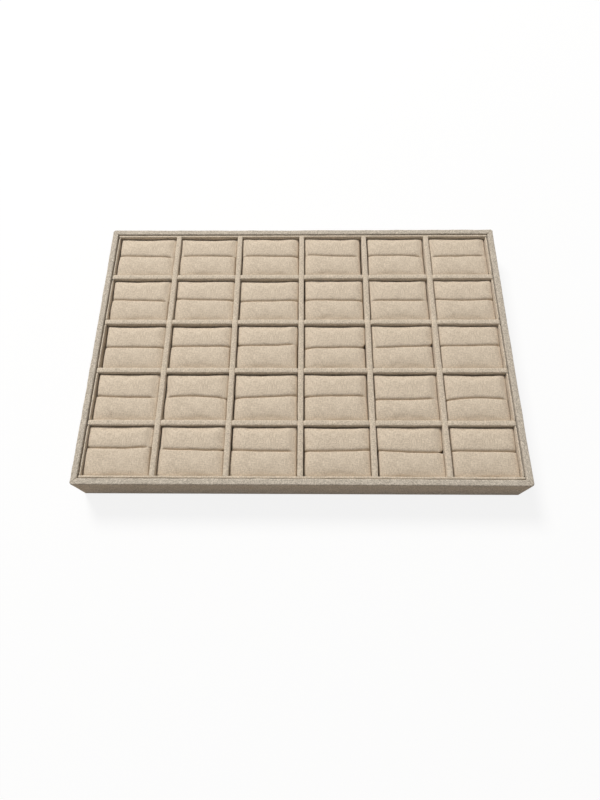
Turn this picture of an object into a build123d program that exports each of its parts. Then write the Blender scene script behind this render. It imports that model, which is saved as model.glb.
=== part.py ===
from build123d import *
import os

# Ring display tray: a linen-covered box, a lift-out grid of dividers and a slit foam pad in each cell.
# The origin is the middle of the underside, X runs along the long side, the front is at -Y and Z is up.

# Whole tray, over its linen
tray_length = 350.0
tray_width = 240.0
tray_height = 30.0
corner_radius = 2.0

# Cells along X and along Y
columns = 6
rows = 5

# Bottom, from the table up
underside_lining_thickness = 0.5
underside_lining_margin = 1.5
base_board_thickness = 3.0
floor_lining_thickness = 0.5

# Walls: a board on edge with linen over both faces and the top
wall_board_thickness = 3.4
wall_linen_thickness = 0.8
wall_edge_radius = 1.6
mitre_gap = 0.1

# Grid: thin liners along the walls and thicker dividers halved into each other, all linen-covered
grid_side_gap = 0.9
grid_end_gap = 0.3
grid_drop = 1.0
grid_linen_thickness = 0.5
liner_board_thickness = 0.7
liner_edge_radius = 0.8
divider_board_thickness = 3.0
divider_edge_radius = 1.6
crossing_play = 0.1

# Pads: foam blocks with glued-on linen, crowned, and slit from end to end to take finger rings
pad_play = 0.5
pad_shoulder_drop = 2.9
pad_crown_rise = 1.3
pad_lip_drop = 0.5
pad_end_drop = 1.0
pad_edge_radius = 3.0
pad_corner_radius = 2.4
pad_draw_in = 0.4
slit_width = 0.9
slit_depth = 14.0
slit_offset = 0.5
slit_lip_radius = 1.9

# Overrun of the cutters, the distance that counts as one point, and the largest share of a strip's
# thickness that one edge rounding may take
overrun = 5.0
near = 0.01
rounding_limit_share = 0.47

# Heights of the layers
base_bottom = underside_lining_thickness
base_top = base_bottom + base_board_thickness
floor_top = base_top + floor_lining_thickness
grid_top = tray_height - grid_drop
halving_height = (floor_top + grid_top) / 2
pad_shoulder = grid_top - pad_shoulder_drop
pad_crown = pad_shoulder + pad_crown_rise

# Widths of the wrapped strips and the room that they leave
wall_thickness = wall_board_thickness + 2 * wall_linen_thickness
liner_thickness = liner_board_thickness + 2 * grid_linen_thickness
divider_thickness = divider_board_thickness + 2 * grid_linen_thickness
grid_length = tray_length - 2 * (wall_thickness + grid_side_gap)
grid_width = tray_width - 2 * (wall_thickness + grid_end_gap)
inner_length = grid_length - 2 * liner_thickness
inner_width = grid_width - 2 * liner_thickness
cell_length = (inner_length - (columns - 1) * divider_thickness) / columns
cell_width = (inner_width - (rows - 1) * divider_thickness) / rows
column_pitch = cell_length + divider_thickness
row_pitch = cell_width + divider_thickness
long_divider_places = [(i - columns / 2) * column_pitch for i in range(1, columns)]
cross_divider_places = [(rows / 2 - i) * row_pitch for i in range(1, rows)]


def block(x_range, y_range, z_range):
    """Box between two values on each axis."""
    lengths = [high - low for low, high in (x_range, y_range, z_range)]
    middles = [(low + high) / 2 for low, high in (x_range, y_range, z_range)]
    return Pos(*middles) * Box(*lengths)


def footprint(margin, bottom, top):
    """Slab with the tray's outline, drawn in by margin, between two heights."""
    length, width = tray_length - 2 * margin, tray_width - 2 * margin
    radius = corner_radius - margin
    outline = RectangleRounded(length, width, radius) if radius > 0 else Rectangle(length, width)
    return Pos(0, 0, bottom) * extrude(outline, top - bottom)


def strip(length, thickness, bottom, top, edge_radius):
    """Board on edge along X, in the middle of Y, with both top edges rounded."""
    section = Plane.YZ * Pos(0, (bottom + top) / 2) * Rectangle(thickness, top - bottom)
    radius = min(edge_radius, rounding_limit_share * thickness)
    section = fillet(section.vertices().group_by(Axis.Z)[-1], radius)
    return extrude(section, length / 2, both=True)


def wrapped_strip(length, board, linen, bottom, top, edge_radius):
    """Board on edge and the linen over its two faces and its top, open at the bottom."""
    core = strip(length, board, bottom, top - linen, edge_radius - linen)
    cutter = strip(length + overrun, board, bottom - overrun, top - linen, edge_radius - linen)
    cover = strip(length, board + 2 * linen, bottom, top, edge_radius) - cutter
    return core, cover


# Bottom: a board between an underside lining and a floor lining

base_board = footprint(wall_linen_thickness, base_bottom, base_top)
underside_lining = footprint(underside_lining_margin, 0, base_bottom)
board_margin = wall_linen_thickness + wall_board_thickness
floor_lining = block(
    (board_margin - tray_length / 2, tray_length / 2 - board_margin),
    (board_margin - tray_width / 2, tray_width / 2 - board_margin),
    (base_top, floor_top),
)

# Walls: front and back boards run through, side boards stand between them, and the linens are mitred


def wall_board(length, side_width):
    """Board of one wall with its outer face towards -Y, standing on the base board."""
    board = strip(
        length,
        wall_board_thickness,
        base_top,
        tray_height - wall_linen_thickness,
        wall_edge_radius - wall_linen_thickness,
    )
    return Pos(0, wall_thickness / 2 - side_width / 2, 0) * board


def wall_linen(side_length, side_width):
    """Linen of one wall with its outer face towards -Y, mitred at both ends."""
    outer = strip(side_length, wall_thickness, base_bottom, tray_height, wall_edge_radius)
    hollow = strip(
        side_length + overrun,
        wall_board_thickness,
        base_bottom - overrun,
        tray_height - wall_linen_thickness,
        wall_edge_radius - wall_linen_thickness,
    )
    inner_foot = block(
        (-side_length / 2, side_length / 2), (0, wall_thickness), (base_bottom - overrun, floor_top)
    )
    sleeve = Pos(0, wall_thickness / 2 - side_width / 2, 0) * (outer - hollow - inner_foot)
    outer_y, inner_y = -side_width / 2, wall_thickness - side_width / 2
    outer_x = side_length / 2 - mitre_gap / 2
    inner_x = outer_x - wall_thickness
    mitre = Polygon(
        (-outer_x, outer_y), (outer_x, outer_y), (inner_x, inner_y), (-inner_x, inner_y), align=None
    )
    return sleeve & extrude(mitre, tray_height)


board_length = tray_length - 2 * wall_linen_thickness
side_board_length = tray_width - 2 * board_margin
board_outline = footprint(wall_linen_thickness, base_bottom, tray_height)
wall_boards = {
    "front": wall_board(board_length, tray_width),
    "right": Rot(0, 0, 90) * wall_board(side_board_length, tray_length),
    "back": Rot(0, 0, 180) * wall_board(board_length, tray_width),
    "left": Rot(0, 0, 270) * wall_board(side_board_length, tray_length),
}
wall_boards = {side: board & board_outline for side, board in wall_boards.items()}
wall_linens = {
    "front": wall_linen(tray_length, tray_width),
    "right": Rot(0, 0, 90) * wall_linen(tray_width, tray_length),
    "back": Rot(0, 0, 180) * wall_linen(tray_length, tray_width),
    "left": Rot(0, 0, 270) * wall_linen(tray_width, tray_length),
}
linen_outline = footprint(0, base_bottom, tray_height)
for side in wall_linens:
    wall_linens[side] = (wall_linens[side] & linen_outline) - wall_boards["front"] - wall_boards["back"]

# Grid: slots from above and from below that halve the dividers into each other and into the side liners

slot_half = divider_thickness / 2 + crossing_play
below = (floor_top - overrun, halving_height + crossing_play)
above = (halving_height, grid_top + overrun)
liner_inner_x = inner_length / 2
slots_in_cross = [
    block((x - slot_half, x + slot_half), (-divider_thickness, divider_thickness), above)
    for x in long_divider_places
]
ends_of_cross = [
    block(
        (min(side * (liner_inner_x - crossing_play), side * grid_length),
         max(side * (liner_inner_x - crossing_play), side * grid_length)),
        (-divider_thickness, divider_thickness),
        below,
    )
    for side in (-1, 1)
]
slots_in_long = [
    block((y - slot_half, y + slot_half), (-divider_thickness, divider_thickness), below)
    for y in cross_divider_places
]
slots_in_liner = [
    block((y - slot_half, y + slot_half), (-divider_thickness, divider_thickness), above)
    for y in cross_divider_places
]


def grid_strip(length, board, edge_radius, cutters):
    """Wrapped strip of the grid along X, with its slots cut through board and linen alike."""
    core, cover = wrapped_strip(
        length, board, grid_linen_thickness, floor_top, grid_top, edge_radius
    )
    for cutter in cutters:
        core, cover = core - cutter, cover - cutter
    return core, cover


end_liner = grid_strip(grid_length, liner_board_thickness, liner_edge_radius, [])
side_liner = grid_strip(inner_width, liner_board_thickness, liner_edge_radius, slots_in_liner)
long_divider = grid_strip(inner_width, divider_board_thickness, divider_edge_radius, slots_in_long)
cross_divider = grid_strip(
    grid_length, divider_board_thickness, divider_edge_radius, slots_in_cross + ends_of_cross
)
end_liner_y = (grid_width - liner_thickness) / 2
side_liner_x = (grid_length - liner_thickness) / 2
turned = Rot(0, 0, 90)
liner_places = {
    "front": (Pos(0, -end_liner_y, 0), end_liner),
    "back": (Pos(0, end_liner_y, 0), end_liner),
    "left": (Pos(-side_liner_x, 0, 0) * turned, side_liner),
    "right": (Pos(side_liner_x, 0, 0) * turned, side_liner),
}
liners = {side: place * pair[0] for side, (place, pair) in liner_places.items()}
liner_linens = [place * pair[1] for place, pair in liner_places.values()]
long_dividers = [Pos(x, 0, 0) * turned * long_divider[0] for x in long_divider_places]
long_divider_linens = [Pos(x, 0, 0) * turned * long_divider[1] for x in long_divider_places]
cross_dividers = [Pos(0, y, 0) * cross_divider[0] for y in cross_divider_places]
cross_divider_linens = [Pos(0, y, 0) * cross_divider[1] for y in cross_divider_places]

# Pad: two soft rolls with a slit between them, crowned on top and drawn in between the corners

pad_half_length = cell_length / 2 - pad_play
pad_half_width = cell_width / 2 - pad_play


def rounded_corners(outline, points, radius):
    """Outline with the corners at these points rounded."""
    corners = [v for v in outline.vertices() if any((Vector(*p) - Vector(v)).length < near for p in points)]
    return fillet(corners, radius)


def pad_plan():
    """Outline of the pad seen from above, with sides bowed inwards."""
    x, y = pad_half_length, pad_half_width
    outline = make_face(
        [
            ThreePointArc((-x, -y), (0, pad_draw_in - y), (x, -y)),
            ThreePointArc((x, -y), (x - pad_draw_in, 0), (x, y)),
            ThreePointArc((x, y), (0, y - pad_draw_in), (-x, y)),
            ThreePointArc((-x, y), (pad_draw_in - x, 0), (-x, -y)),
        ]
    )
    return fillet(outline.vertices(), pad_corner_radius)


def pad_cross_section():
    """Section across the slit: two crowned rolls with rounded shoulders and slit lips."""
    outer, lip, slit_floor = pad_half_width, pad_crown - pad_lip_drop, pad_crown - slit_depth
    far, close = slit_offset + slit_width / 2, slit_offset - slit_width / 2
    outline = make_face(
        [
            Line((-outer, floor_top), (outer, floor_top)),
            Line((outer, floor_top), (outer, pad_shoulder)),
            ThreePointArc((outer, pad_shoulder), ((outer + far) / 2, pad_crown), (far, lip)),
            Line((far, lip), (far, slit_floor)),
            Line((far, slit_floor), (close, slit_floor)),
            Line((close, slit_floor), (close, lip)),
            ThreePointArc((close, lip), ((close - outer) / 2, pad_crown), (-outer, pad_shoulder)),
            Line((-outer, pad_shoulder), (-outer, floor_top)),
        ]
    )
    outline = rounded_corners(outline, [(-outer, pad_shoulder), (outer, pad_shoulder)], pad_edge_radius)
    outline = rounded_corners(outline, [(close, lip), (far, lip)], slit_lip_radius)
    return Plane.YZ * outline


def pad_long_section():
    """Section along the slit: a low crown that is highest in the middle, with rounded ends."""
    outer, end = pad_half_length, pad_crown - pad_end_drop
    outline = make_face(
        [
            Line((-outer, floor_top), (outer, floor_top)),
            Line((outer, floor_top), (outer, end)),
            ThreePointArc((outer, end), (0, pad_crown), (-outer, end)),
            Line((-outer, end), (-outer, floor_top)),
        ]
    )
    outline = rounded_corners(outline, [(-outer, end), (outer, end)], pad_edge_radius)
    return Plane.XZ * outline


ring_pad = (
    extrude(pad_plan(), tray_height)
    & extrude(pad_cross_section(), cell_length, both=True)
    & extrude(pad_long_section(), cell_width, both=True)
)

# Everything under its own name

parts = {
    "base_board": base_board,
    "underside_lining": underside_lining,
    "floor_lining": floor_lining,
    "long_divider_linens": Compound(children=long_divider_linens),
    "cross_divider_linens": Compound(children=cross_divider_linens),
    "liner_linens": Compound(children=liner_linens),
}
for side in wall_boards:
    parts[f"{side}_wall_board"] = wall_boards[side]
    parts[f"{side}_wall_linen"] = wall_linens[side]
    parts[f"{side}_liner"] = liners[side]
for number, divider in enumerate(long_dividers, 1):
    parts[f"long_divider_{number}"] = divider
for number, divider in enumerate(cross_dividers, 1):
    parts[f"cross_divider_{number}"] = divider
for row in range(rows):
    for column in range(columns):
        place = Pos(
            (column - (columns - 1) / 2) * column_pitch, ((rows - 1) / 2 - row) * row_pitch, 0
        )
        parts[f"ring_pad_r{row + 1}_c{column + 1}"] = place * ring_pad

os.makedirs("parts", exist_ok=True)
for name, shape in parts.items():
    export_step(shape, f"parts/{name}.step")
print("cell", round(cell_length, 3), round(cell_width, 3), "grid top", grid_top, "crown", pad_crown)
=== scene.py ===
import math

import bpy
import numpy as np
from mathutils import Matrix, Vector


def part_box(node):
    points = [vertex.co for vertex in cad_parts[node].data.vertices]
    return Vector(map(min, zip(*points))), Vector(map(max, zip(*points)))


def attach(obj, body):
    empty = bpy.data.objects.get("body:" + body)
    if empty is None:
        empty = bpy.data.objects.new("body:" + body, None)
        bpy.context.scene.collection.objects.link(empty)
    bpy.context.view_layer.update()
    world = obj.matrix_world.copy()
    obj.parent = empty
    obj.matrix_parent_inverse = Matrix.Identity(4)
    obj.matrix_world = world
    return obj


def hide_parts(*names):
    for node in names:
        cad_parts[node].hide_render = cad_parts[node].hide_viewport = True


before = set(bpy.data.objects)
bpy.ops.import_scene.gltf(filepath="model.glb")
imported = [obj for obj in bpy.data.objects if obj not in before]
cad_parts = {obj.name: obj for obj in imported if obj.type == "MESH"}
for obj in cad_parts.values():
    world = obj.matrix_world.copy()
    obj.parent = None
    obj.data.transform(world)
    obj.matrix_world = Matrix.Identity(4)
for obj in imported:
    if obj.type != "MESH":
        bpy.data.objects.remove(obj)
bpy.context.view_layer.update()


# Boards: fibreboard for the base and the four walls, thin grey card for the drop-in grid.
# They come from the CAD frame as they are. Linen hides nearly all of them, and only the raw
# edges under the tray and inside the slots show.

class Value:
    """One output of a shader node. A sum, difference or product with it adds a Math node."""

    def __init__(self, tree, socket):
        self.tree, self.socket = tree, socket

    def math(self, operation, *terms):
        node = self.tree.nodes.new("ShaderNodeMath")
        node.operation = operation
        for place, term in enumerate(terms):
            if isinstance(term, Value):
                self.tree.links.new(term.socket, node.inputs[place])
            else:
                node.inputs[place].default_value = term
        return Value(self.tree, node.outputs[0])

    def __add__(self, other):
        return self.math("ADD", self, other)

    def __sub__(self, other):
        return self.math("SUBTRACT", self, other)

    def __rsub__(self, other):
        return self.math("SUBTRACT", other, self)

    def __mul__(self, other):
        return self.math("MULTIPLY", self, other)

    __radd__, __rmul__ = __add__, __mul__

    def __abs__(self):
        return self.math("ABSOLUTE", self)

    def sine(self):
        return self.math("SINE", self)

    def ease(self, start, end):
        """0 up to start, 1 from end on, and a smooth rise between them."""
        node = self.tree.nodes.new("ShaderNodeMapRange")
        node.interpolation_type = "SMOOTHSTEP"
        self.tree.links.new(self.socket, node.inputs["Value"])
        node.inputs["From Min"].default_value, node.inputs["From Max"].default_value = start, end
        return Value(self.tree, node.outputs["Result"])


class Finish:
    """A material in the making: node() adds any node, and surface() ends it in one Principled shader."""

    def __init__(self, name):
        self.material = bpy.data.materials.new(name)
        self.material.use_nodes = True
        self.tree = self.material.node_tree
        self.tree.nodes.clear()

    def node(self, kind, inputs, output=0, **settings):
        """Adds a node: its settings first, then a value or a link for each socket that inputs names."""
        node = self.tree.nodes.new(kind)
        for name, value in settings.items():
            setattr(node, name, value)
        for name, value in inputs.items():
            socket = node.inputs[name]
            if isinstance(value, Value):
                self.tree.links.new(value.socket, socket)
            else:
                socket.default_value = value
        return Value(self.tree, node.outputs[output]) if node.outputs else node

    def noise(self, place, scale, detail=2.0, stretch=(1, 1, 1)):
        """Noise whose grains are about 1/scale across, and longer along an axis where stretch is small."""
        spread = self.node("ShaderNodeMapping", {"Vector": place, "Scale": stretch})
        return self.node("ShaderNodeTexNoise", {"Vector": spread, "Scale": scale, "Detail": detail})

    def blend(self, share, first, second):
        """Colour that goes from first to second as share goes from 0 to 1."""
        node = self.tree.nodes.new("ShaderNodeMix")
        node.data_type = "RGBA"
        for place, value in ((0, share), (6, first), (7, second)):
            if isinstance(value, Value):
                self.tree.links.new(value.socket, node.inputs[place])
            else:
                node.inputs[place].default_value = value if place == 0 else (*value, 1)
        return Value(self.tree, node.outputs[2])

    def surface(self, colour, roughness, height, relief, **constants):
        """Principled surface with a bump: height runs from 0 to 1 and relief is its size in metres."""
        normal = self.node("ShaderNodeBump", {"Height": height, "Distance": relief, "Strength": 1.0})
        sockets = {"Base Color": colour, "Roughness": roughness, "Normal": normal}
        shader = self.node("ShaderNodeBsdfPrincipled", {**sockets, **constants})
        self.node("ShaderNodeOutputMaterial", {"Surface": shader})
        return self.material


def pressed_board(name, pale, deep, grain):
    """Board pressed from fibres, about grain of them to a metre: short light and dark fibres over a
    mottle twelve times as wide, matt and slightly rough."""
    finish = Finish(name)
    place = finish.node("ShaderNodeTexCoord", {}, output="Object")
    fibres = finish.noise(place, grain, detail=4.0, stretch=(1, 0.35, 1))
    mottle = finish.noise(place, grain / 12)
    colour = finish.blend((fibres * 0.7 + mottle * 0.3).ease(0.35, 0.65), deep, pale)
    return finish.surface(colour, roughness=fibres * 0.15 + 0.8, height=fibres, relief=0.0001)


fibreboard = pressed_board("fibreboard", (0.40, 0.30, 0.20), (0.26, 0.18, 0.11), grain=1800)
grey_card = pressed_board("grey_card", (0.36, 0.34, 0.30), (0.25, 0.23, 0.20), grain=2500)
for name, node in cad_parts.items():
    for slot in node.material_slots:
        slot.material = fibreboard if "board" in name else grey_card


# Linings: thin felt glued flat on both sides of the base board. The lower one is what the tray
# stands on, and the upper one is the floor that shows where a pad is lifted out. Each was cut
# as a rectangle and pressed on, so only its outer face is a little uneven.

def ripples(along, across, wave, height, seed):
    """Mean of eight sine waves in seeded directions, each about wave long, scaled to about height."""
    rng = np.random.default_rng(seed)
    angle, phase = rng.uniform(0, 2 * np.pi, (2, 8))
    turns = 2 * np.pi / (wave * rng.uniform(0.6, 1.6, 8))
    ways = along[..., None] * np.cos(angle) + across[..., None] * np.sin(angle)
    return 2 * height * np.sin(turns * ways + phase).mean(-1)


def outwards(points, faces):
    """The faces, turned round where the volume that they enclose comes out negative."""
    a, b, c, d = np.moveaxis(points[faces], 1, 0)
    volume = (a * (np.cross(b, c) + np.cross(c, d))).sum()
    return faces if volume > 0 else faces[:, ::-1]


def quads(numbers):
    """Four-cornered faces over a grid of point numbers."""
    a, b, c, d = numbers[:-1, :-1], numbers[1:, :-1], numbers[1:, 1:], numbers[:-1, 1:]
    return np.stack([a, b, c, d], -1).reshape(-1, 4)


def shell(face, back, weave):
    """Closed sheet of cloth from the grids of its two faces, joined along all four borders. weave is
    the place of each grid point on the cloth, in millimetres, and is the same for both faces."""
    numbers = np.arange(face[..., 0].size).reshape(face.shape[:2])
    border = np.concatenate([numbers[:-1, 0], numbers[-1, :-1], numbers[:0:-1, -1], numbers[0, :0:-1]])
    following = np.roll(border, -1)
    edge = np.stack([border, border + numbers.size, following + numbers.size, following], -1)
    points = np.concatenate([face.reshape(-1, 3), back.reshape(-1, 3)])
    faces = np.concatenate([quads(numbers), quads(numbers + numbers.size)[:, ::-1], edge])
    return points, outwards(points, faces), np.concatenate([weave.reshape(-1, 2)] * 2)


def soft_piece(name, shells, finish, body, stands_for, crease=50):
    """One object from closed surfaces in millimetres. Its UV map holds each point's place on the
    cloth in centimetres, and edges sharper than crease degrees stay sharp."""
    counts = np.cumsum([0] + [len(points) for points, _, _ in shells])
    points = np.concatenate([points for points, _, _ in shells]) / 1000
    faces = [row for start, (_, part, _) in zip(counts, shells) for row in (part + start).tolist()]
    weave = np.concatenate([cloth for _, _, cloth in shells]) / 10
    mesh = bpy.data.meshes.new(name)
    mesh.from_pydata(points.tolist(), [], faces)
    corners = np.empty(len(mesh.loops), int)
    mesh.loops.foreach_get("vertex_index", corners)
    mesh.uv_layers.new(name="weave").data.foreach_set("uv", weave[corners].ravel())
    mesh.polygons.foreach_set("use_smooth", np.ones(len(mesh.polygons), bool))
    mesh.set_sharp_from_angle(angle=math.radians(crease))
    mesh.materials.append(finish)
    made = bpy.data.objects.new(name, mesh)
    bpy.context.collection.objects.link(made)
    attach(made, body)
    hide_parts(stands_for)
    return made


def glued_felt(name, pale, deep):
    """Felt: matted fibres half a millimetre across over a mottle of 8 mm, with no thread direction."""
    finish = Finish(name)
    place = finish.node("ShaderNodeTexCoord", {}, output="Object")
    fibres = finish.noise(place, 2200, detail=4.0, stretch=(1, 1, 0.5))
    mottle = finish.noise(place, 120, detail=3.0)
    colour = finish.blend((fibres * 0.6 + mottle * 0.4).ease(0.3, 0.7), deep, pale)
    return finish.surface(
        colour, roughness=fibres * 0.08 + 0.9, height=fibres, relief=0.00012, **{"Sheen Weight": 0.15}
    )


def lining(node, felt, face_up, seed):
    """Flat sheet in the box of its CAD node: a grid whose outer face dips by about 0.08 mm, in waves
    of about 30 mm."""
    low, high = (np.array(corner) * 1000 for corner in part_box(node))
    x, y = np.meshgrid(
        np.linspace(low[0], high[0], 150), np.linspace(low[1], high[1], 100), indexing="ij"
    )
    dip = np.abs(ripples(x, y, wave=30, height=0.08, seed=seed))
    top = np.stack([x, y, high[2] - (dip if face_up else 0 * x)], -1)
    bottom = np.stack([x, y, low[2] + (0 * x if face_up else dip)], -1)
    weave = np.stack([x, y], -1)
    made = soft_piece(f"{node}_felt", [shell(top, bottom, weave)], felt, "tray", node)


beige_felt = glued_felt("beige_felt", (0.46, 0.39, 0.30), (0.33, 0.27, 0.20))
lining("underside_lining", beige_felt, face_up=False, seed=11)
lining("floor_lining", beige_felt, face_up=True, seed=12)


# Wall linens: one strip of natural linen round each wall, glued up the outside, over the top
# edge and down the inside to the floor. The ends are cut on the mitre and turned under, which
# leaves a raised lip on both sides of the joint at each corner of the rim.

thread_pitch = 0.055


def woven(name, pale, deep, fleck, nubs=1.8, strewn=0.67):
    """Plain-weave linen on the weave map, in centimetres. Threads are rounded ridges a pitch apart,
    with the crossing one on top in a chequer. Long slubs and uneven yarns run both ways, and nubs
    weights the yarns. Brown flecks are strewn in where a noise passes strewn, and the colour drifts
    slowly between pale and deep."""
    finish = Finish(name)
    place = finish.node("ShaderNodeUVMap", {}, uv_map="weave")
    wander = finish.noise(place, 4.0) * 0.06
    axes = [finish.node("ShaderNodeSeparateXYZ", {"Vector": place}, output=axis) for axis in (0, 1)]
    along, across = (((axis + wander) * (math.pi / thread_pitch)).sine() for axis in axes)
    over = (along * across).ease(-0.25, 0.25)
    threads = abs(along) * over + abs(across) * (1 - over)
    weft, warp = (finish.noise(place, 1.0, stretch=long) for long in ((1.6, 22, 1), (22, 1.6, 1)))
    slubs = weft.ease(0.42, 0.72) + warp.ease(0.42, 0.72)
    weft, warp = (finish.noise(place, 1.0, detail=3.0, stretch=long) for long in ((5, 18, 1), (18, 5, 1)))
    yarns = (weft + warp) * 0.5
    drift = finish.noise(place, 0.9, detail=3.0)
    flecks = finish.noise(place, 13.0, detail=1.0, stretch=(1, 1.7, 1)).ease(strewn, strewn + 0.05)
    share = threads * 0.2 + slubs * 0.25 + yarns * nubs + drift * 0.3
    middle = 0.4 + nubs / 2
    colour = finish.blend(share.ease(middle - 0.4, middle + 0.4), deep, pale)
    colour = finish.blend(flecks * 0.85, colour, fleck)
    return finish.surface(
        colour, roughness=1 - threads * 0.12, height=threads * 0.5 + slubs * 0.3 + yarns * 0.9,
        relief=0.00012, **{"Sheen Weight": 0.12}
    )


def over_edge(thickness, low_out, low_in, top, radius, inset=0.0, steps=(14, 7, 5, 14)):
    """Section of cloth over a board: up the outer face, a quarter turn, across the top, a quarter
    turn, and down the inner face. Gives depth from the outer face and height; inset is the
    distance of this face inside the outermost one."""
    near, far, high = inset, thickness - inset, top - inset
    bend = max(radius - inset, 0.05)
    up, turn, flat, down = steps
    quarter = np.linspace(0, np.pi / 2, turn, endpoint=False)
    depth = np.concatenate([
        np.full(up, near), near + bend * (1 - np.cos(quarter)),
        np.linspace(near + bend, far - bend, flat, endpoint=False),
        far - bend + bend * np.sin(quarter), np.full(down, far),
    ])
    height = np.concatenate([
        np.linspace(low_out, high - bend, up, endpoint=False), high - bend + bend * np.sin(quarter),
        np.full(flat, high), high - bend + bend * np.cos(quarter),
        np.linspace(high - bend, low_in, down),
    ])
    return depth, height


def run_length(depth, height):
    """Distance along a section from its first point to each of its points."""
    return np.concatenate([[0], np.cumsum(np.hypot(np.diff(depth), np.diff(height)))])


wall_size, wall_cloth_size, wall_bend, wall_bow, rim_corner = 5.0, 0.8, 0.95, 0.25, 2.2
wall_foot, floor_height, rim_height = 0.5, 4.0, 30.0

# Length of each side, the tray's width across it, and the side's turn in degrees.
tray_sides = {"front": (350.0, 240.0, 0), "right": (240.0, 350.0, 90),
              "back": (350.0, 240.0, 180), "left": (240.0, 350.0, 270)}
rim_linen = woven(
    "rim_linen", (0.75, 0.667, 0.555), (0.35, 0.303, 0.243), (0.12, 0.09, 0.065), nubs=2.8, strewn=0.66
)


def wall_cloth(side, seed):
    """The section of cloth over a board, carried along the wall and cut at 45 degrees at both ends,
    with points closer together towards them. It has slow waves, a raised lip beside each mitre and a
    groove in it, short creases along the rim's inner edge, and a long bow towards the tray's middle.
    The tray's upright corners are rounded by drawing each square ring of the corner in to a round
    one."""
    length, width, turn = tray_sides[side]
    step = np.linspace(-1, 1, 280)
    step = (1.35 * step - 0.35 * step**3)[:, None]
    middle, mitre_gap = wall_size / 2, 0.05
    lip_rise, lip_place, groove_depth, most_rise = 0.08, 1.2, 0.12, 0.12
    faces = []
    for inset in (0.0, wall_cloth_size):
        outermost = inset == 0
        depth, height = over_edge(wall_size, wall_foot, floor_height, rim_height, wall_bend, inset)
        x = step * (length / 2 - mitre_gap - depth)
        away = (length / 2 - depth - np.abs(x)) / math.sqrt(2)
        lean = np.clip((height - rim_height + 6) / 6, 0, 1) ** 2
        lip = lip_rise * np.exp(-((away - lip_place) / 0.8) ** 2) - groove_depth * np.exp(-(away / 0.35) ** 2)
        wave = ripples(x, depth + 2 * height, 28, 0.12, seed) + ripples(x, 3 * height, 7, 0.04, seed + 1)
        push = (wave * np.clip((height - wall_foot) / 4, 0, 1) + lip * lean) * outermost
        bow = wall_bow * (1 - (2 * x / length) ** 2) * np.clip((height - wall_foot) / 12, 0, 1)
        crease = ripples(x, 0 * x + height, 4.5, 0.09, seed + 2) * lean * (depth > middle) * outermost
        outwards_share = np.clip((middle - depth) / middle * 1.6, -1, 1)
        out_depth = depth - push * outwards_share + (bow + crease)
        out_height = height + np.minimum(push, most_rise) * lean
        past_x = np.maximum(np.abs(x) - (length / 2 - rim_corner), 0)
        past_y = np.maximum(rim_corner - out_depth, 0)
        ring, reach = np.maximum(past_x, past_y), np.hypot(past_x, past_y)
        draw = np.where((past_x > 0) & (past_y > 0), ring / np.maximum(reach, 1e-9), 1)
        x = np.sign(x) * (np.abs(x) - past_x * (1 - draw))
        y = out_depth + past_y * (1 - draw) - width / 2
        z = out_height + 0 * x
        spin = math.radians(turn)
        faces.append(np.stack(
            [x * math.cos(spin) - y * math.sin(spin), x * math.sin(spin) + y * math.cos(spin), z], -1
        ))
    run = run_length(*over_edge(wall_size, wall_foot, floor_height, rim_height, wall_bend))
    weave = np.stack(np.broadcast_arrays(step * length / 2, run), -1)
    name = f"{side}_wall_linen"
    made = soft_piece(f"{name}_cloth", [shell(*faces, weave)], rim_linen, "tray", name)


for number, side in enumerate(tray_sides):
    wall_cloth(side, 20 + 3 * number)


# Grid linens: each strip of the drop-in grid is wrapped in linen before the strips are slotted
# together. The dividers from front to back run through at the top, and the ones from side to
# side are tucked in between them and end on top of the thin side liners.

grid_low, grid_middle, grid_high = floor_height, 16.5, 29.0
grid_cloth_size, divider_size, divider_bend = 0.5, 4.5, 0.6
liner_size, side_liner_size, liner_bend = 1.8, 1.25, 0.55
grid_length, grid_width = 338.2, 229.4
column_pitch, row_pitch = 56.4667, 46.0
divider_linen = woven(
    "divider_linen", (0.785, 0.67, 0.53), (0.465, 0.392, 0.30), (0.14, 0.10, 0.07), nubs=2.6, strewn=0.665
)


def upper_cloth(start, end, size, bend, tucked, seed):
    """Cloth over the top half of a strip from start to end along it: the section over a board, arched
    a little across the top of a divider, with slow and short waves that die out at half height, a
    slight sway along the strip, and ends that sink and narrow where they are tucked in."""
    steps, point_gap, middle = (10, 7, 4, 10), 0.9, size / 2
    along = np.linspace(start, end, max(int((end - start) / point_gap), 12))[:, None]
    tuck = tucked * np.exp(-np.minimum(along - start, end - along) ** 2)
    arch_rise = 0.28 if size == divider_size else 0.0
    faces = []
    for inset in (0.0, grid_cloth_size):
        depth, height = over_edge(size, grid_middle, grid_middle, grid_high, bend, inset, steps)
        lift = np.clip((height - grid_middle) / 8, 0, 1)
        slow = ripples(along, depth + 2 * height, 18, 0.12, seed)
        short = ripples(along, height, 4.5, 0.06, seed + 3)
        wave = (slow + short) * (inset == 0)
        side = np.clip((depth - middle) / middle, -1, 1)
        sway = ripples(along, 0 * height, 90, 0.05, seed + 5) * lift
        y = depth - middle + side * (np.clip(wave, -0.12, 0.1) - 0.2 * tuck) * lift + sway
        arch = arch_rise * (1 - side**2)
        z = height + (arch - 0.75 * tuck - np.maximum(-wave, 0) * (1 - np.abs(side))) * lift**2
        faces.append(np.stack(np.broadcast_arrays(along + 0 * y, y, z), -1))
    run = run_length(*over_edge(size, grid_middle, grid_middle, grid_high, bend, steps=steps))
    return shell(*faces, np.stack(np.broadcast_arrays(along, run), -1))


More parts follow.
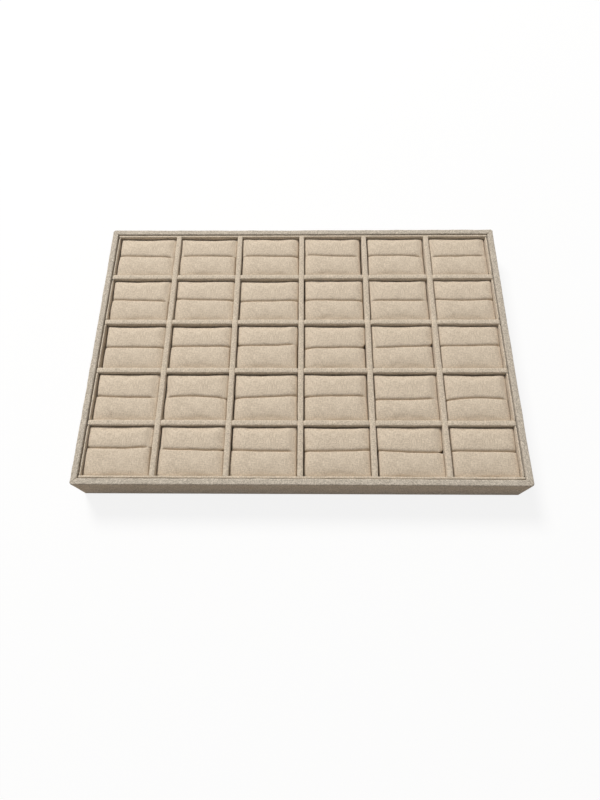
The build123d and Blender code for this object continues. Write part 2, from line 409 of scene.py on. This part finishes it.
def lower_cloth(start, end, size):
    """The two flat flaps of cloth on the lower half of a strip, from start to end along it."""
    point_gap = 6
    along, height = np.meshgrid(
        np.linspace(start, end, max(int((end - start) / point_gap), 2)),
        np.linspace(grid_low, grid_middle, 4), indexing="ij",
    )
    weave = np.stack([along, height], -1)
    flaps = []
    for side in (-1, 1):
        face, back = (np.stack([along, 0 * along + side * y, height], -1)
                      for y in (size / 2, size / 2 - grid_cloth_size))
        flaps.append(shell(face, back, weave))
    return flaps


def strip_cloth(name, cloth, place, turned, stands_for):
    """Moves the cloth of a strip along X to its place, turned to run along Y if asked."""
    def put(points):
        x, y, z = points.T
        x, y = (-y, x) if turned else (x, y)
        return np.stack([x + place[0], y + place[1], z], -1)

    shells = [(put(points), faces, weave) for points, faces, weave in cloth]
    made = soft_piece(name, shells, divider_linen, "divider_grid", stands_for)


def between(places, ends, gap):
    """Stretches between neighbouring places, each place taking gap on both sides."""
    inner = [edge for place in sorted(places) for edge in (place - gap, place + gap)]
    edges = [ends[0], *inner, ends[1]]
    return list(zip(edges[::2], edges[1::2]))


# How far each divider sits out of its place, to the right or to the back, in millimetres.
long_slips, cross_slips = (-0.4, -0.5, -0.2, 0.25, 0.5), (-0.3, -0.5, -0.5, -0.5)
long_places = [(number - 3) * column_pitch + slip for number, slip in enumerate(long_slips, 1)]
cross_places = [(2.5 - number) * row_pitch + slip for number, slip in enumerate(cross_slips, 1)]
liner_y, liner_x = {"front": -113.5, "back": 113.5}, {"left": -168.32, "right": 168.3}
half_length, half_width = grid_length / 2, grid_width / 2 - liner_size
between_cross = between(cross_places, (-half_width, half_width), gap=2.1)
between_long = between(long_places, (-half_length, half_length), gap=2.15)

for seed, (side, y) in zip((41, 45), liner_y.items()):
    cloth = [upper_cloth(-half_length, half_length, liner_size, liner_bend, 0.0, seed)]
    cloth += lower_cloth(-half_length, half_length, liner_size)
    strip_cloth(f"{side}_liner_cloth", cloth, (0, y), False,
                "liner_linens")

for seed, (side, x) in zip((50, 58), liner_x.items()):
    cloth = [upper_cloth(*stretch, side_liner_size, liner_bend, 0.9, seed + place)
             for place, stretch in enumerate(between_cross)]
    cloth += lower_cloth(-half_width, half_width, side_liner_size)
    strip_cloth(f"{side}_liner_cloth", cloth, (x, 0), True,
                "liner_linens")

for number, x in enumerate(long_places, 1):
    cloth = [upper_cloth(-half_width, half_width, divider_size, divider_bend, 0.3, 70 + number)]
    for stretch in between_cross:
        cloth += lower_cloth(*stretch, divider_size)
    strip_cloth(f"long_divider_cloth_{number}", cloth, (x, 0), True,
                "long_divider_linens")

for number, y in enumerate(cross_places, 1):
    cloth = [upper_cloth(*stretch, divider_size, divider_bend, 1.0, 90 + 7 * number + place)
             for place, stretch in enumerate(between_long)]
    cloth += lower_cloth(-half_length + liner_size, half_length - liner_size, divider_size)
    strip_cloth(f"cross_divider_cloth_{number}", cloth, (0, y), False,
                "cross_divider_linens")


# Ring pads: foam blocks wrapped in linen, one pushed into each cell. A knife cut from side to
# side makes two soft rolls, and the linen is tucked down into it. Each pad was wrapped by hand,
# so the cuts wander and bow, and about half of them close up before they reach the right end.

pad_half_length, pad_half_width, pad_low, pad_high = 25.85, 20.3, floor_height, 27.45
pad_round, pad_corner = 0.75, 1.0
cut_depth, cut_half_gap, near_lip, far_lip, far_sink = 13.5, 0.2, 0.8, 2.2, 1.2
pad_linen = woven("pad_linen", (0.80, 0.68, 0.535), (0.52, 0.425, 0.32), (0.20, 0.13, 0.08))

# How far each cut lies behind the middle of its pad, in millimetres, 20 mm to the left, in the
# middle and 20 mm to the right.
cut_lines = [
    [(1.2, 0.6, 0.0), (1.0, 1.0, 0.8), (1.0, 0.6, 0.4),
     (1.6, 0.6, 0.4), (1.2, 1.2, 0.3), (0.0, 0.3, 1.0)],
    [(0.2, -0.6, -1), (1, 0, -0.2), (-1.2, -1.2, -0.6),
     (-0.4, -0.4, -0.6), (-0.6, -0.6, -0.6), (0.2, -0.6, 0.2)],
    [(-0.4, -0.6, -0.6), (0.6, 0.4, 0.4), (1.2, 1.2, 2.2),
     (-1.6, -0.8, -0.6), (-0.8, 0, 0.8), (1.0, 1.1, 1.8)],
    [(0.6, -0.3, -0.4), (0.2, 0.7, -0.8), (-0.6, 0.0, 1.2),
     (0.6, 1.2, 1.4), (-2, -2, -1.4), (-2, -0.5, -1.2)],
    [(2.5, 2.2, 3.2), (1.6, 0.9, 0.7), (0.8, 0.2, 0.2),
     (0.2, 0.2, 0.9), (0.6, -0.5, -0.8), (0.5, 0.4, 0.4)],
]

# Row and column of the pads whose cut stays open to the right end, and of those where it closes
# before the left one. Other cuts close only before the right end.
open_right = {(1, 3), (2, 2), (2, 3), (2, 4), (2, 6), (3, 1), (3, 2),
              (3, 4), (3, 5), (3, 6), (4, 3), (5, 2), (5, 4), (5, 6)}
closed_left = {(1, 2), (1, 3), (1, 4), (1, 6), (2, 5), (3, 5), (4, 2), (5, 2)}

# Ends at which a cut gapes, and by how many millimetres: row, column, and -1 for the left end or 1
# for the right one.
gaping = {(3, 4, 1): 4.5, (3, 5, 1): 3.2, (3, 3, -1): 1.5, (5, 5, 1): 2.8, (5, 2, 1): 1.4,
          (4, 4, -1): 1.0, (4, 2, 1): 1.0, (2, 2, 1): 1.0, (4, 6, -1): 1.0}


def ease(share):
    """Smooth rise from 0 to 1: three squares less two cubes, held flat outside."""
    share = np.clip(share, 0, 1)
    return share**2 * (3 - 2 * share)


def cut_of(row, column, x):
    """The cut's line as a parabola through its three places plus a slow wave, how open it is along
    the pad, from 1 down to nearly 0 over the closing_run before an end where it closes up, and how
    wide it gapes, which dies out from an end with an exponential."""
    seed = 1000 + 10 * row + column
    reach, closing_run, past_end = 20, 4, -6.0
    left, middle, right = cut_lines[row - 1][column - 1]
    line = middle + (right - left) * x / (2 * reach) + ((left + right) / 2 - middle) * (x / reach) ** 2
    line = line + ripples(x, 0 * x, 22, 0.16, seed)
    shut_left = 1.5 if (row, column) in closed_left else past_end
    shut_right = past_end if (row, column) in open_right else np.random.default_rng(seed).uniform(0.8, 2.6)
    from_left, from_right = x + pad_half_length - shut_left, pad_half_length - shut_right - x
    opening = ease(from_left / closing_run) * ease(from_right / closing_run)
    gape = 0 * x
    for side in (-1, 1):
        gape = gape + gaping.get((row, column, side), 0) * np.exp((side * x - pad_half_length) / 2.0)
    return line, np.maximum(np.maximum(opening, 0.02), np.minimum(gape, 1)), gape


def across_pad(line, opening, gape):
    """Rows across the top: in from the front edge over the near roll, a quarter turn down into the
    cut, down its wall, and the same mirrored for the far roll, whose lip is pushed back and turns
    tighter where the cut gapes. Rows lie closer over the outer part of a roll. Gives place across,
    drop below the top, and the run of the cloth over all of it."""
    outer_part = 0.19
    roll = np.append(np.linspace(0, outer_part, 6, endpoint=False), np.linspace(outer_part, 1, 10))
    turn = np.linspace(0, np.pi / 2, 7)[1:]
    wall = np.linspace(0, 1, 6)[1:]
    places, drops = [], []
    for side, lip in ((-1, near_lip + 0 * gape), (1, far_lip - 1.5 * np.minimum(gape, 1))):
        outer = side * pad_half_width
        edge = (line + side * (cut_half_gap * opening + lip) + (side > 0) * gape)[:, None]
        lip = lip[:, None]
        fall = np.concatenate([0 * lip * roll, lip * (1 - np.cos(turn)), lip + (cut_depth - lip) * wall], 1)
        places.append(np.concatenate(
            [outer + roll * (edge - outer), edge - side * lip * np.sin(turn), edge - side * lip + 0 * wall], 1
        ))
        drops.append(fall * opening[:, None])
    y = np.concatenate([places[0], places[1][:, ::-1]], 1)
    drop = np.concatenate([drops[0], drops[1][:, ::-1]], 1)
    run = y + np.concatenate([drops[0], (2 * drops[1][:, -1:] - drops[1])[:, ::-1]], 1)
    return y, drop, run


# How far each pad's ends stand out, in millimetres: the left end of its near roll and of its far
# roll, the right end of both, and the far edge. A cell leaves no more room than end_room and
# back_room. left_fall is how far the top falls to the left end, in the pads of each column.
end_room, back_room, left_fall = 0.1, 0.5, (1.0, 1.6, 1.6, 1.5, 1.0, 1.0)
stand_out = [
    [(-0.6, -0.8, -0.1, 0.0, 0.1), (0.5, 0.4, -0.9, 0.0, -0.6), (-0.3, 0.4, 0.0, -0.2, 0.4),
     (0.5, 0.6, -0.9, -0.9, 0.4), (-0.4, -0.6, -0.7, -0.6, 0.1), (-0.5, -0.2, 0.0, -0.4, 0.1)],
    [(-0.1, -0.4, -0.9, -0.3, -0.5), (0.0, 0.0, -0.1, 0.1, -0.1), (-0.2, 0.3, -0.3, 0.3, -0.8),
     (0.0, -0.3, -0.3, -0.3, 0.1), (-0.3, -0.1, -0.5, -0.8, 0.1), (-0.8, -0.9, 0.1, 0.9, 0.3)],
    [(-1.5, -1.5, -0.3, -0.2, -0.6), (-0.1, -0.2, -0.7, -0.2, -0.6), (0.4, -0.1, -0.8, -0.4, 0.2),
     (0.4, 0.1, -0.4, 0.2, -0.5), (0.0, -0.3, -0.5, 0.2, 0.3), (-1.0, -0.6, 0.1, 0.1, 0.9)],
    [(-0.5, -0.9, 0.0, -0.2, 0.8), (-0.2, -0.4, -0.5, 0.0, -0.2), (-0.4, -0.4, 0.0, 0.0, 0.1),
     (-0.3, 0.2, -0.3, -0.3, 0.1), (0.0, -0.4, 0.0, -0.1, 0.1), (-0.9, -1.0, -0.3, 0.0, 0.2)],
    [(0.6, 0.3, -0.9, 0.0, 0.6), (-0.1, -0.6, -0.3, 0.0, 0.2), (0.3, -0.5, -0.2, -0.3, 0.1),
     (-0.4, 0.0, 0.5, 0.6, -0.6), (-1.1, -0.5, 0.6, 0.1, 0.3), (-1.6, -1.7, 0.4, 0.5, -0.1)],
]


def stretched(row, column, x, y, line):
    """How far the pad's points are pushed to the right and to the back, which dies out inwards with
    an exponential, and how deep the top falls to its ends, as a factor: left_fall to the left and 1
    to the right, and up to 0.5 less where a roll stands out."""
    left_near, left_far, right_near, right_far, far = stand_out[row - 1][column - 1]
    left, right = np.where(y < line, left_near, left_far), np.where(y < line, right_near, right_far)
    at_left, at_right = (np.exp(-(pad_half_length + side * x) / 4) for side in (1, -1))
    out = np.minimum(right, end_room) * at_right - np.minimum(left, end_room) * at_left
    back = min(far, back_room) * np.exp(-(pad_half_width - y) / 4) * (y > line)
    raised = np.clip(np.where(x < 0, left, right), 0, 1)
    return out, back, np.where(x < 0, left_fall[column - 1], 1) - 0.5 * raised


def crown(x, y, line, opening, deep, seed):
    """Height of the top before it is filled and cut. The near roll climbs from 2.2 mm down at its
    front edge, ever slower, and the far roll is level. They fall away to the right end and to the
    back with an exponential and to the left end with a parabola, and each is sunk beside the cut.
    The two falls are joined by a root of the sum of their powers, and slow waves run through the
    cloth."""
    near = (y + pad_half_width) * pad_half_width / (line + pad_half_width)
    climb = 2.2 - 0.5 * (1 - np.exp(-near / 1.5)) - 0.22 * near + 0.0076 * near**2
    behind = 1.25 * np.exp((y - pad_half_width) / 2.0)
    fall, power = np.where(y < line, climb, behind), np.where(y < line, 1.4, 4.0)
    to_left = np.clip(1 - (x + pad_half_length) / 12, 0, 1) ** 2
    to_right = 2.1 * np.exp((x - pad_half_length) / 3.2)
    ends = deep * np.where(x < 0, to_left, to_right)
    sink = far_sink * opening * np.exp(-np.maximum(y - line, 0) / 2.4) * (y > line)
    sink = sink + 0.3 * opening * np.exp(np.minimum(y - line, 0) / 2.0) * (y < line)
    waves = ripples(x, y, 17, 0.16, seed) + ripples(x, y, 7, 0.05, seed + 1)
    return pad_high - (fall**power + ends**power) ** (1 / power) - sink + waves


def softened(x, y, z, top):
    """Rounds a box. Past the inner box each square ring round the top turns over the edge on a
    quarter circle, and the upright corners are drawn in from square rings to round ones. Then the
    sides pull in between the corners, belly a little at half height, and tuck in below."""
    past_x = np.maximum(np.abs(x) - pad_half_length + pad_round, 0)
    past_y = np.maximum(np.abs(y) - pad_half_width + pad_round, 0)
    past_z = np.maximum(z - top + pad_round, 0)
    reach = np.hypot(np.maximum(past_x, past_y), past_z)
    draw = 1 - pad_round / np.maximum(reach, pad_round)
    x, y, z = x - np.sign(x) * past_x * draw, y - np.sign(y) * past_y * draw, z - past_z * draw
    past_x = np.maximum(np.abs(x) - pad_half_length + pad_corner, 0)
    past_y = np.maximum(np.abs(y) - pad_half_width + pad_corner, 0)
    draw = 1 - np.maximum(past_x, past_y) / np.maximum(np.hypot(past_x, past_y), 1e-9)
    x, y = x - np.sign(x) * past_x * draw, y - np.sign(y) * past_y * draw
    up = np.clip((z - pad_low) / (top - pad_low), 0, 1)
    pull, foot = 0.25 - 0.1 * np.sin(np.pi * up), 0.7 * np.exp(-(z - pad_low) / 1.4)
    in_x = pull * np.cos(np.pi * y / (2 * pad_half_width)) ** 2 + foot
    in_y = pull * np.cos(np.pi * x / (2 * pad_half_length)) ** 2 + foot
    return x * (1 - in_x / pad_half_length), y * (1 - in_y / pad_half_width), z, up


def pad_net(shape, steps):
    """Numbers of a closed pad's points: a grid over the top, steps rows down the four sides from its
    border, and a fan across the bottom. Gives the border and the faces."""
    grid = np.arange(shape[0] * shape[1]).reshape(shape)
    border = np.concatenate([grid[:, 0], grid[-1, 1:], grid[-2::-1, -1], grid[0, -2:0:-1]])
    below = grid.size + np.arange(steps * len(border)).reshape(steps, -1)
    rows = np.concatenate([border[None], below])
    foot = np.append(rows[-1], rows[-1, 0])
    middle = np.full(len(foot) // 2, grid.size + below.size)
    fan = np.stack([foot[2::2], foot[1:-1:2], foot[:-2:2], middle], -1)
    return border, np.concatenate([quads(grid), quads(np.concatenate([rows, rows[:, :1]], 1)), fan])


def carried(values, border, down):
    """Values on the top, followed by those of its border once for each row down the sides."""
    rows = np.broadcast_to(values.ravel()[border], (len(down), len(border)))
    return np.concatenate([values.ravel(), rows.ravel()])


def pad_form(x, y, line, opening, deep, border, down, seed):
    """Uncut pad: its crowned top and the rows down its sides, rounded. Gives the points' three
    coordinates, how high up the pad each is from 0 to 1, and the cloth's run below the top."""
    top = crown(x, y, line, opening, deep, seed)
    below = np.concatenate([0 * x.ravel(), (down[:, None] * (top.ravel()[border] - pad_low)).ravel()])
    x, y, top = (carried(part, border, down) for part in (x, y, top))
    return *softened(x, y, top - below, top), below


def filled(blanks, faces, held):
    """How far the points of the uncut pads move when foam fills them: all, side by side, are one
    cloth under pressure without gravity, run from frame 1 to 16 with each pad's foot held."""
    first_frame, last_frame, spacing = 1, 16, 60
    count, numbers = len(blanks[0]), np.arange(len(blanks))
    start = (np.stack(blanks) + numbers[:, None, None] * (spacing, 0, 0)).reshape(-1, 3) / 1000
    mesh = bpy.data.meshes.new("uncut_pads")
    mesh.from_pydata(start.tolist(), [], np.concatenate([faces + count * n for n in numbers]).tolist())
    cloth = bpy.data.objects.new("uncut_pads", mesh)
    bpy.context.collection.objects.link(cloth)
    foot = cloth.vertex_groups.new(name="foot")
    foot.add(np.concatenate([held + count * n for n in numbers]).tolist(), 1.0, "REPLACE")
    swell = cloth.modifiers.new("swell", "CLOTH")
    swell.settings.quality = 3
    swell.settings.use_pressure, swell.settings.uniform_pressure_force = True, 8.0
    swell.settings.vertex_group_mass = "foot"
    swell.settings.effector_weights.gravity = 0.0
    swell.point_cache.frame_start, swell.point_cache.frame_end = first_frame, last_frame
    for frame_number in range(first_frame, last_frame + 1):
        bpy.context.scene.frame_set(frame_number)
    swollen = cloth.evaluated_get(bpy.context.evaluated_depsgraph_get()).data
    end = np.empty(3 * len(swollen.vertices))
    swollen.vertices.foreach_get("co", end)
    bpy.data.objects.remove(cloth)
    bpy.data.meshes.remove(mesh)
    bpy.context.scene.frame_set(first_frame)
    return 1000 * (end.reshape(-1, 3) - start).reshape(len(blanks), count, 3)


def between_points(values, rows, columns, row, column):
    """Values on a grid, read in straight lines between its rows and its columns."""
    row = np.interp(row, rows, np.arange(len(rows)))
    column = np.interp(column, columns, np.arange(len(columns)))
    low, left = (np.minimum(place.astype(int), most - 2) for place, most in
                 ((row, len(rows)), (column, len(columns))))
    up, right = (row - low)[..., None], (column - left)[..., None]
    lower = values[low, left] * (1 - right) + values[low, left + 1] * right
    upper = values[low + 1, left] * (1 - right) + values[low + 1, left + 1] * right
    return lower * (1 - up) + upper * up


def round_border(x, y, border):
    """Way round the border to each of its points, from its first point and back to it."""
    path = np.append(border, border[0])
    steps = np.abs(np.diff(x.ravel()[path])) + np.abs(np.diff(y.ravel()[path]))
    return np.concatenate([[0], np.cumsum(steps)])


def ring_pad(row, column, seed, swelling):
    """Closed pad: the uncut form, moved as far as the foam moves it but at most by swell_most, then
    let down into the cut. The ends of its two rolls are drawn back unevenly, it is turned and tipped
    a little in its cell, and it is pressed flat where it would pass the cell's sides. Its points lie
    closer together within edge_run of an edge, and those down the sides are spaced for side_run. The
    last point is the middle of its bottom."""
    edge_run, side_run = 3.2, 22
    edge = np.linspace(0, edge_run, 6, endpoint=False)
    flat = np.linspace(edge_run - pad_half_length, pad_half_length - edge_run, 31)
    x = np.concatenate([edge - pad_half_length, flat, (pad_half_length - edge)[::-1]])
    line, opening, gape = cut_of(row, column, x)
    y, drop, run = across_pad(line, opening, gape)
    x, line, opening = (np.broadcast_to(part[:, None], y.shape) for part in (x, line, opening))
    down = np.append(np.linspace(0, edge_run, 6)[1:], np.linspace(edge_run, side_run, 10)[1:]) / side_run
    border, faces = pad_net(x.shape, len(down))
    rng = np.random.default_rng(seed)
    out, back, deep = stretched(row, column, x, y, line)
    px, py, pz, up, below = pad_form(x, y, line, opening, deep, border, down, seed)

    top, sides = swelling[: blank_x.size], swelling[blank_x.size: -1]
    over = between_points(top.reshape(*blank_x.shape, 3), blank_x[:, 0], blank_y[0], x, y)
    sides = np.concatenate([top[blank_border][None], sides.reshape(len(blank_down), -1, 3)])
    sides = np.concatenate([sides, sides[:, :1]], 1)
    blank_way, way = round_border(blank_x, blank_y, blank_border), round_border(x, y, border)[:-1]
    row_share, way = np.broadcast_arrays(down[:, None], way)
    down_sides = between_points(sides, np.append(0, blank_down), blank_way, row_share, way)
    move = np.concatenate([over.reshape(-1, 3), down_sides.reshape(-1, 3)])
    px, py, pz = (np.stack([px, py, pz], -1) + swell_most * np.tanh(move / swell_most)).T

    px, py = px + carried(out, border, down) * up, py + carried(back, border, down) * up
    pz = pz - carried(drop, border, down) * up
    along, across = x.shape[0] - 1, x.shape[1] - 1
    outward = np.repeat([[0, -1], [1, 0], [0, 1], [-1, 0]], [along, across, along, across], 0)
    outward = np.concatenate([np.zeros((x.size, 2)), np.tile(outward, (len(down), 1))])
    weave = np.stack([carried(x, border, down), carried(run, border, down)], -1) + outward * below[:, None]
    angle = math.radians(rng.uniform(-0.4, 0.2))
    tip_x, tip_y, shift_x, shift_y = rng.uniform((-0.008, -0.008, -0.1, -0.08), (0.008, 0.008, 0.1, 0.08))
    pz = pz + up * (tip_x * px + tip_y * py)
    middle_x = (column - 3.5) * column_pitch + shift_x + column_slips[column - 1]
    middle_y = (3 - row) * row_pitch + shift_y + row_slips[row - 1]
    points = np.stack([
        np.clip(px * math.cos(angle) - py * math.sin(angle) + middle_x, *cell_x[column - 1]),
        np.clip(px * math.sin(angle) + py * math.cos(angle) + middle_y, *cell_y[row - 1]), pz,
    ], -1)
    return np.concatenate([points, [[middle_x, middle_y, pad_low]]]), faces, np.concatenate([weave, [[0, 0]]])


# How far the pads of each column sit to the right of their cell's middle, and of each row behind
# it. Each cell ends cell_play before a divider and before the front and back liners, and side_play
# before a side liner.
column_slips, row_slips = (-0.6, -0.4, -0.35, 0.05, 0.45, 0.5), (-0.25, -0.4, -0.8, -0.9, -0.5)
swell_most = np.array([0.2, 0.2, 0.5])
cell_play, side_play = 0.2, 0.4
reach_x, reach_y = side_liner_size / 2 + side_play, liner_size / 2 + cell_play
ends_x = (liner_x["left"] + reach_x, liner_x["right"] - reach_x)
ends_y = (liner_y["front"] + reach_y, liner_y["back"] - reach_y)
cell_x = between(long_places, ends_x, gap=divider_size / 2 + cell_play)
cell_y = between(cross_places, ends_y, gap=divider_size / 2 + cell_play)[::-1]
blank_x, blank_y = np.meshgrid(
    np.linspace(-pad_half_length, pad_half_length, 25), np.linspace(-pad_half_width, pad_half_width, 19),
    indexing="ij",
)
blank_down = np.linspace(0, 1, 8)[1:]
blank_border, blank_faces = pad_net(blank_x.shape, len(blank_down))
pad_seeds = {(row, column): 3000 + 20 * row + 2 * column for row in range(1, 6) for column in range(1, 7)}
blanks = []
for (row, column), seed in pad_seeds.items():
    line = cut_of(row, column, blank_x)[0]
    form = pad_form(blank_x, blank_y, line, 0 * line, 1, blank_border, blank_down, seed)
    blanks.append(np.concatenate([np.stack(form[:3], -1), [[0, 0, pad_low]]]))

# The foot of a pad is the last row down its sides and the middle of its bottom.
foot = np.arange(len(blanks[0]) - len(blank_border) - 1, len(blanks[0]))
for ((row, column), seed), swelling in zip(pad_seeds.items(), filled(blanks, blank_faces, foot)):
    name = f"pad_r{row}_c{column}"
    cloth = [ring_pad(row, column, seed, swelling)]
    pad = soft_piece(f"{name}_linen", cloth, pad_linen, name, f"ring_{name}", crease=80)


# Table: a plain pale floor. The picture's background is white, so the floor is near white to
# the camera and darker to the light that bounces off it, and it keeps the tray's shadow.

finish = Finish("pale_floor")
direct_rays = ("Is Camera Ray", "Is Glossy Ray", "Is Transmission Ray")
seen = sum((finish.node("ShaderNodeLightPath", {}, output=kind) for kind in direct_rays), 0.0).ease(0, 1)
paint = finish.blend(seen, (0.58, 0.45, 0.325), (0.97, 0.97, 0.97))
lit = finish.node("ShaderNodeBsdfDiffuse", {"Color": paint})
glow = finish.node("ShaderNodeEmission", {"Color": (1, 1, 1, 1), "Strength": 1.0})
shader = finish.node("ShaderNodeMixShader", {0: seen * 0.85, 1: lit, 2: glow})
finish.node("ShaderNodeOutputMaterial", {"Surface": shader})
mesh = bpy.data.meshes.new("floor")
corners = [(-6, -6, 0), (6, -6, 0), (6, 6, 0), (-6, 6, 0)]
mesh.from_pydata(corners, [], [(0, 1, 2, 3)])
mesh.materials.append(finish.material)
floor = bpy.data.objects.new("floor", mesh)
bpy.context.collection.objects.link(floor)


# Light: one round soft lamp, 3.5 m away and high up behind the tray's back left corner, and an
# even pale sky. Together they light a white card that lies on the table to just about white.

lamp = bpy.data.lights.new("lamp", "AREA")
lamp.shape, lamp.size, lamp.energy, lamp.color = "DISK", 1.2, 115.0, (1.0, 0.985, 0.96)
soft_lamp = bpy.data.objects.new("lamp", lamp)
turn, tilt, distance = math.radians(32), math.radians(-42), 3.5
towards = Matrix.Rotation(turn, 4, "Z") @ Matrix.Rotation(tilt, 4, "X")
soft_lamp.matrix_world = towards @ Matrix.Translation((0, 0, distance))
bpy.context.collection.objects.link(soft_lamp)

world = bpy.data.worlds.new("sky")
world.use_nodes = True
bpy.context.scene.world = world
tree = world.node_tree
tree.nodes["Background"].inputs["Color"].default_value = (1, 1, 1, 1)
rays, sky_light = tree.nodes.new("ShaderNodeLightPath"), 0.275
seen = sum((Value(tree, rays.outputs[kind]) for kind in direct_rays), 0.0).ease(0, 1)
strength = seen * (1 - sky_light) + sky_light
tree.links.new(strength.socket, tree.nodes["Background"].inputs["Strength"])


# Camera: the photograph's own place and lens, found from the corners of the rim and the lines
# of the dividers.

lens = bpy.data.cameras.new("camera")
lens.lens, lens.sensor_width = 23.97, 36.0
lens.clip_start, lens.clip_end = 0.01, 50
camera = bpy.data.objects.new("camera", lens)
turns = ((2.129, "Z"), (90 - 67.301, "X"), (-1.872, "Z"))
spins = [Matrix.Rotation(math.radians(angle), 4, axis) for angle, axis in turns]
camera.matrix_world = Matrix.Translation((0.0054, -0.21505, 0.42346)) @ spins[0] @ spins[1] @ spins[2]
bpy.context.collection.objects.link(camera)
bpy.context.scene.camera = camera
bpy.context.scene.view_settings.view_transform = "Standard"
